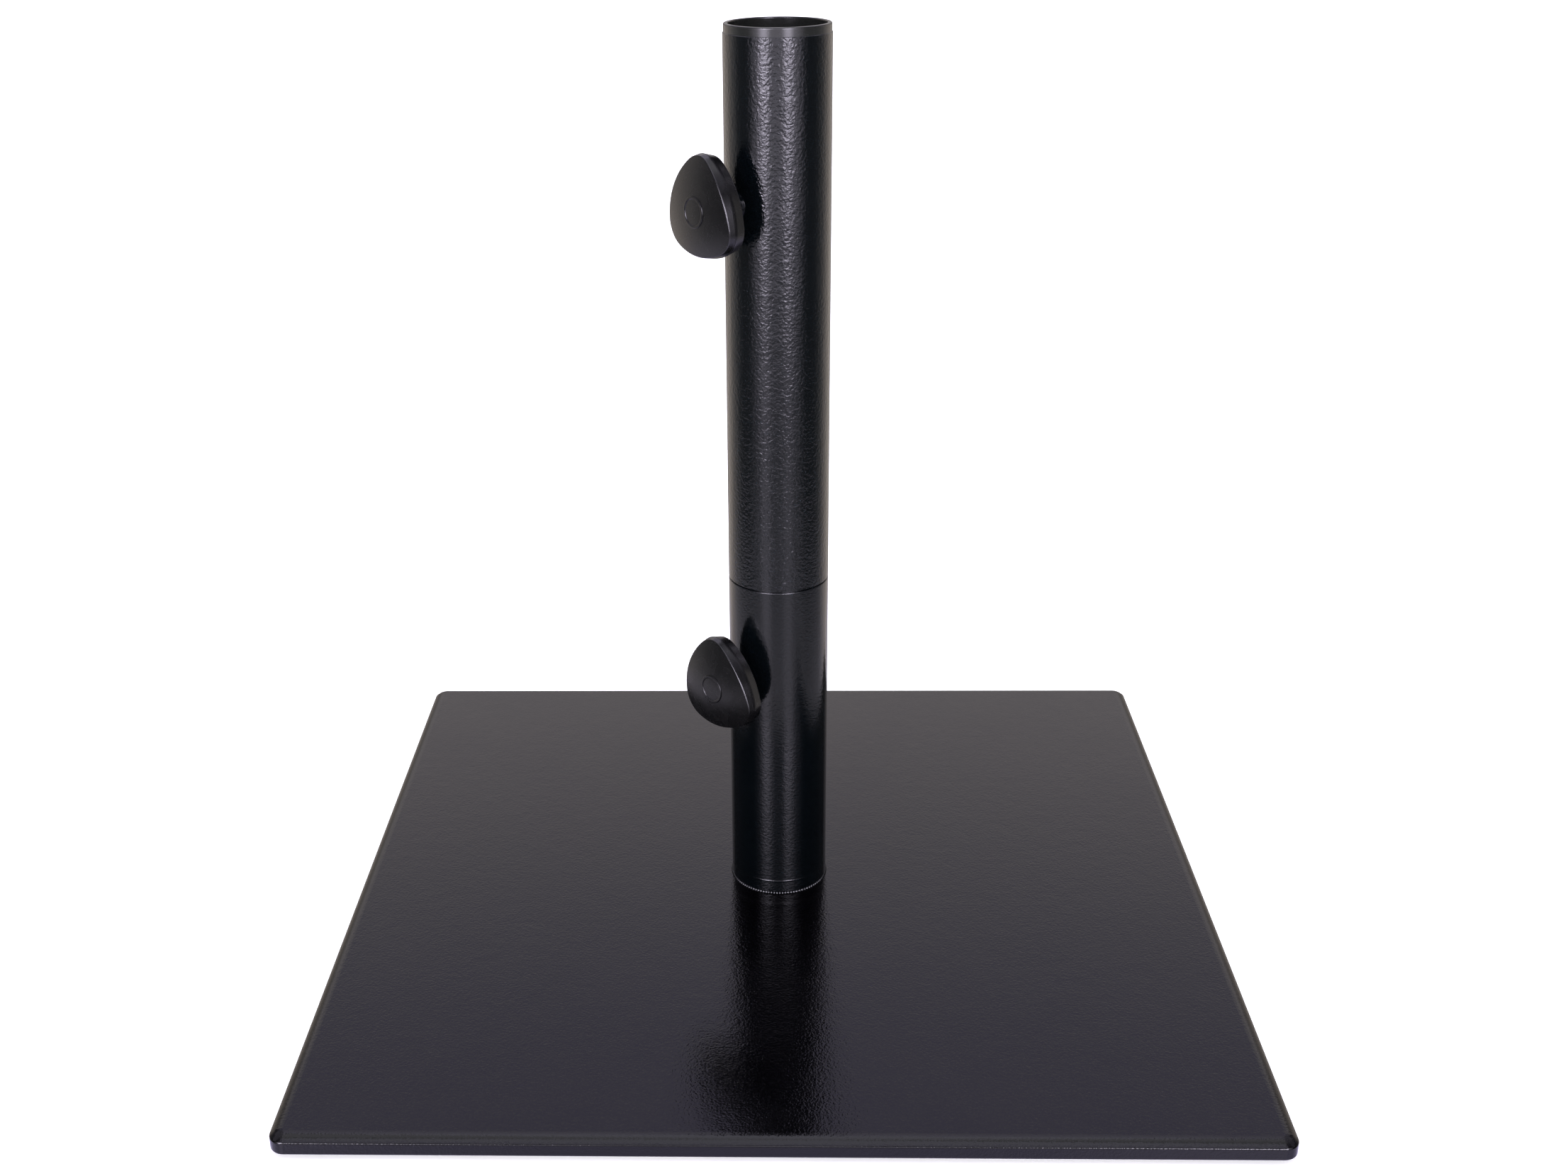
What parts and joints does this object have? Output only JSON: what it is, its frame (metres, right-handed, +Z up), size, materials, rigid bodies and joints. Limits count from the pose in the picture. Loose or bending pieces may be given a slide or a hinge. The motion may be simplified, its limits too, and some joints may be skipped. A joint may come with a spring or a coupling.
{
  "type": "parasol base",
  "caption": "Square steel plate on small feet that carries an upright tube in two sections, each with a rounded triangular clamp knob, to hold a parasol's pole.",
  "frame": {"origin": "on the tube's axis, on the ground under the feet, at the middle of the plate", "axes": "+Z up along the tube's axis, out of its mouth; +X and +Y along the plate's sides; the clamp knobs stand at the front left, between -X and -Y"},
  "size_m": [0.5, 0.5, 0.5055],
  "materials": {
    "plate_coating": "black powder coat, semi-gloss, fine orange peel",
    "tube_coating": "black powder coat, semi-gloss, fine orange peel",
    "collar_plastic": "smooth moulded black plastic",
    "knob_plastic": "fine-grained moulded black plastic",
    "pad_plastic": "natural nylon",
    "zinc_steel": "bright zinc plate",
    "foot_rubber": "black rubber"
  },
  "bodies": {
    "base": {"base_plate": "plate_coating", "foot_front_left": "foot_rubber", "foot_front_right": "foot_rubber", "foot_rear_left": "foot_rubber", "foot_rear_right": "foot_rubber", "foot_disc": "tube_coating", "foot_weld": "tube_coating", "seam_weld": "tube_coating", "lower_tube": "tube_coating", "lower_threaded_boss": "tube_coating"},
    "coupling": {"coupling_sleeve": "tube_coating"},
    "upper_section": {"upper_tube": "tube_coating", "top_collar": "collar_plastic", "upper_threaded_boss": "tube_coating"},
    "lower_pad": {"lower_thrust_pad": "pad_plastic"},
    "lower_clamp": {"lower_clamp_screw": "zinc_steel", "lower_knob": "knob_plastic", "lower_knob_cap": "knob_plastic"},
    "upper_pad": {"upper_thrust_pad": "pad_plastic"},
    "upper_clamp": {"upper_clamp_screw": "zinc_steel", "upper_knob": "knob_plastic", "upper_knob_cap": "knob_plastic"}
  },
  "joints": [
    {"name": "upper_section_turn", "type": "hinge", "parent": "base", "child": "coupling", "pos_m": [0, 0, 0.205], "axis": [0, 0, 1], "continuous": true},
    {"name": "upper_section_lift", "type": "slide", "parent": "coupling", "child": "upper_section", "axis": [0, 0, 1], "range_m": [0, 0.045]},
    {"name": "lower_screw_travel", "type": "slide", "parent": "base", "child": "lower_pad", "axis": [0.7193, 0.6947, 0], "range_m": [-0.00252, 0.0069]},
    {"name": "lower_knob_turn", "type": "hinge", "parent": "lower_pad", "child": "lower_clamp", "pos_m": [0, 0, 0.1507], "axis": [0.7193, 0.6947, 0], "range_deg": [-720, 1980]},
    {"name": "upper_screw_travel", "type": "slide", "parent": "upper_section", "child": "upper_pad", "axis": [0.788, 0.6157, 0], "range_m": [-0.00052, 0.0089]},
    {"name": "upper_knob_turn", "type": "hinge", "parent": "upper_pad", "child": "upper_clamp", "pos_m": [0, 0, 0.4167], "axis": [0.788, 0.6157, 0], "range_deg": [-144, 2556]}
  ],
  "couplings": [
    {"joint": "lower_screw_travel", "follows": "lower_knob_turn", "m_per_rad": 0.00019894},
    {"joint": "upper_screw_travel", "follows": "upper_knob_turn", "m_per_rad": 0.00019894}
  ]
}
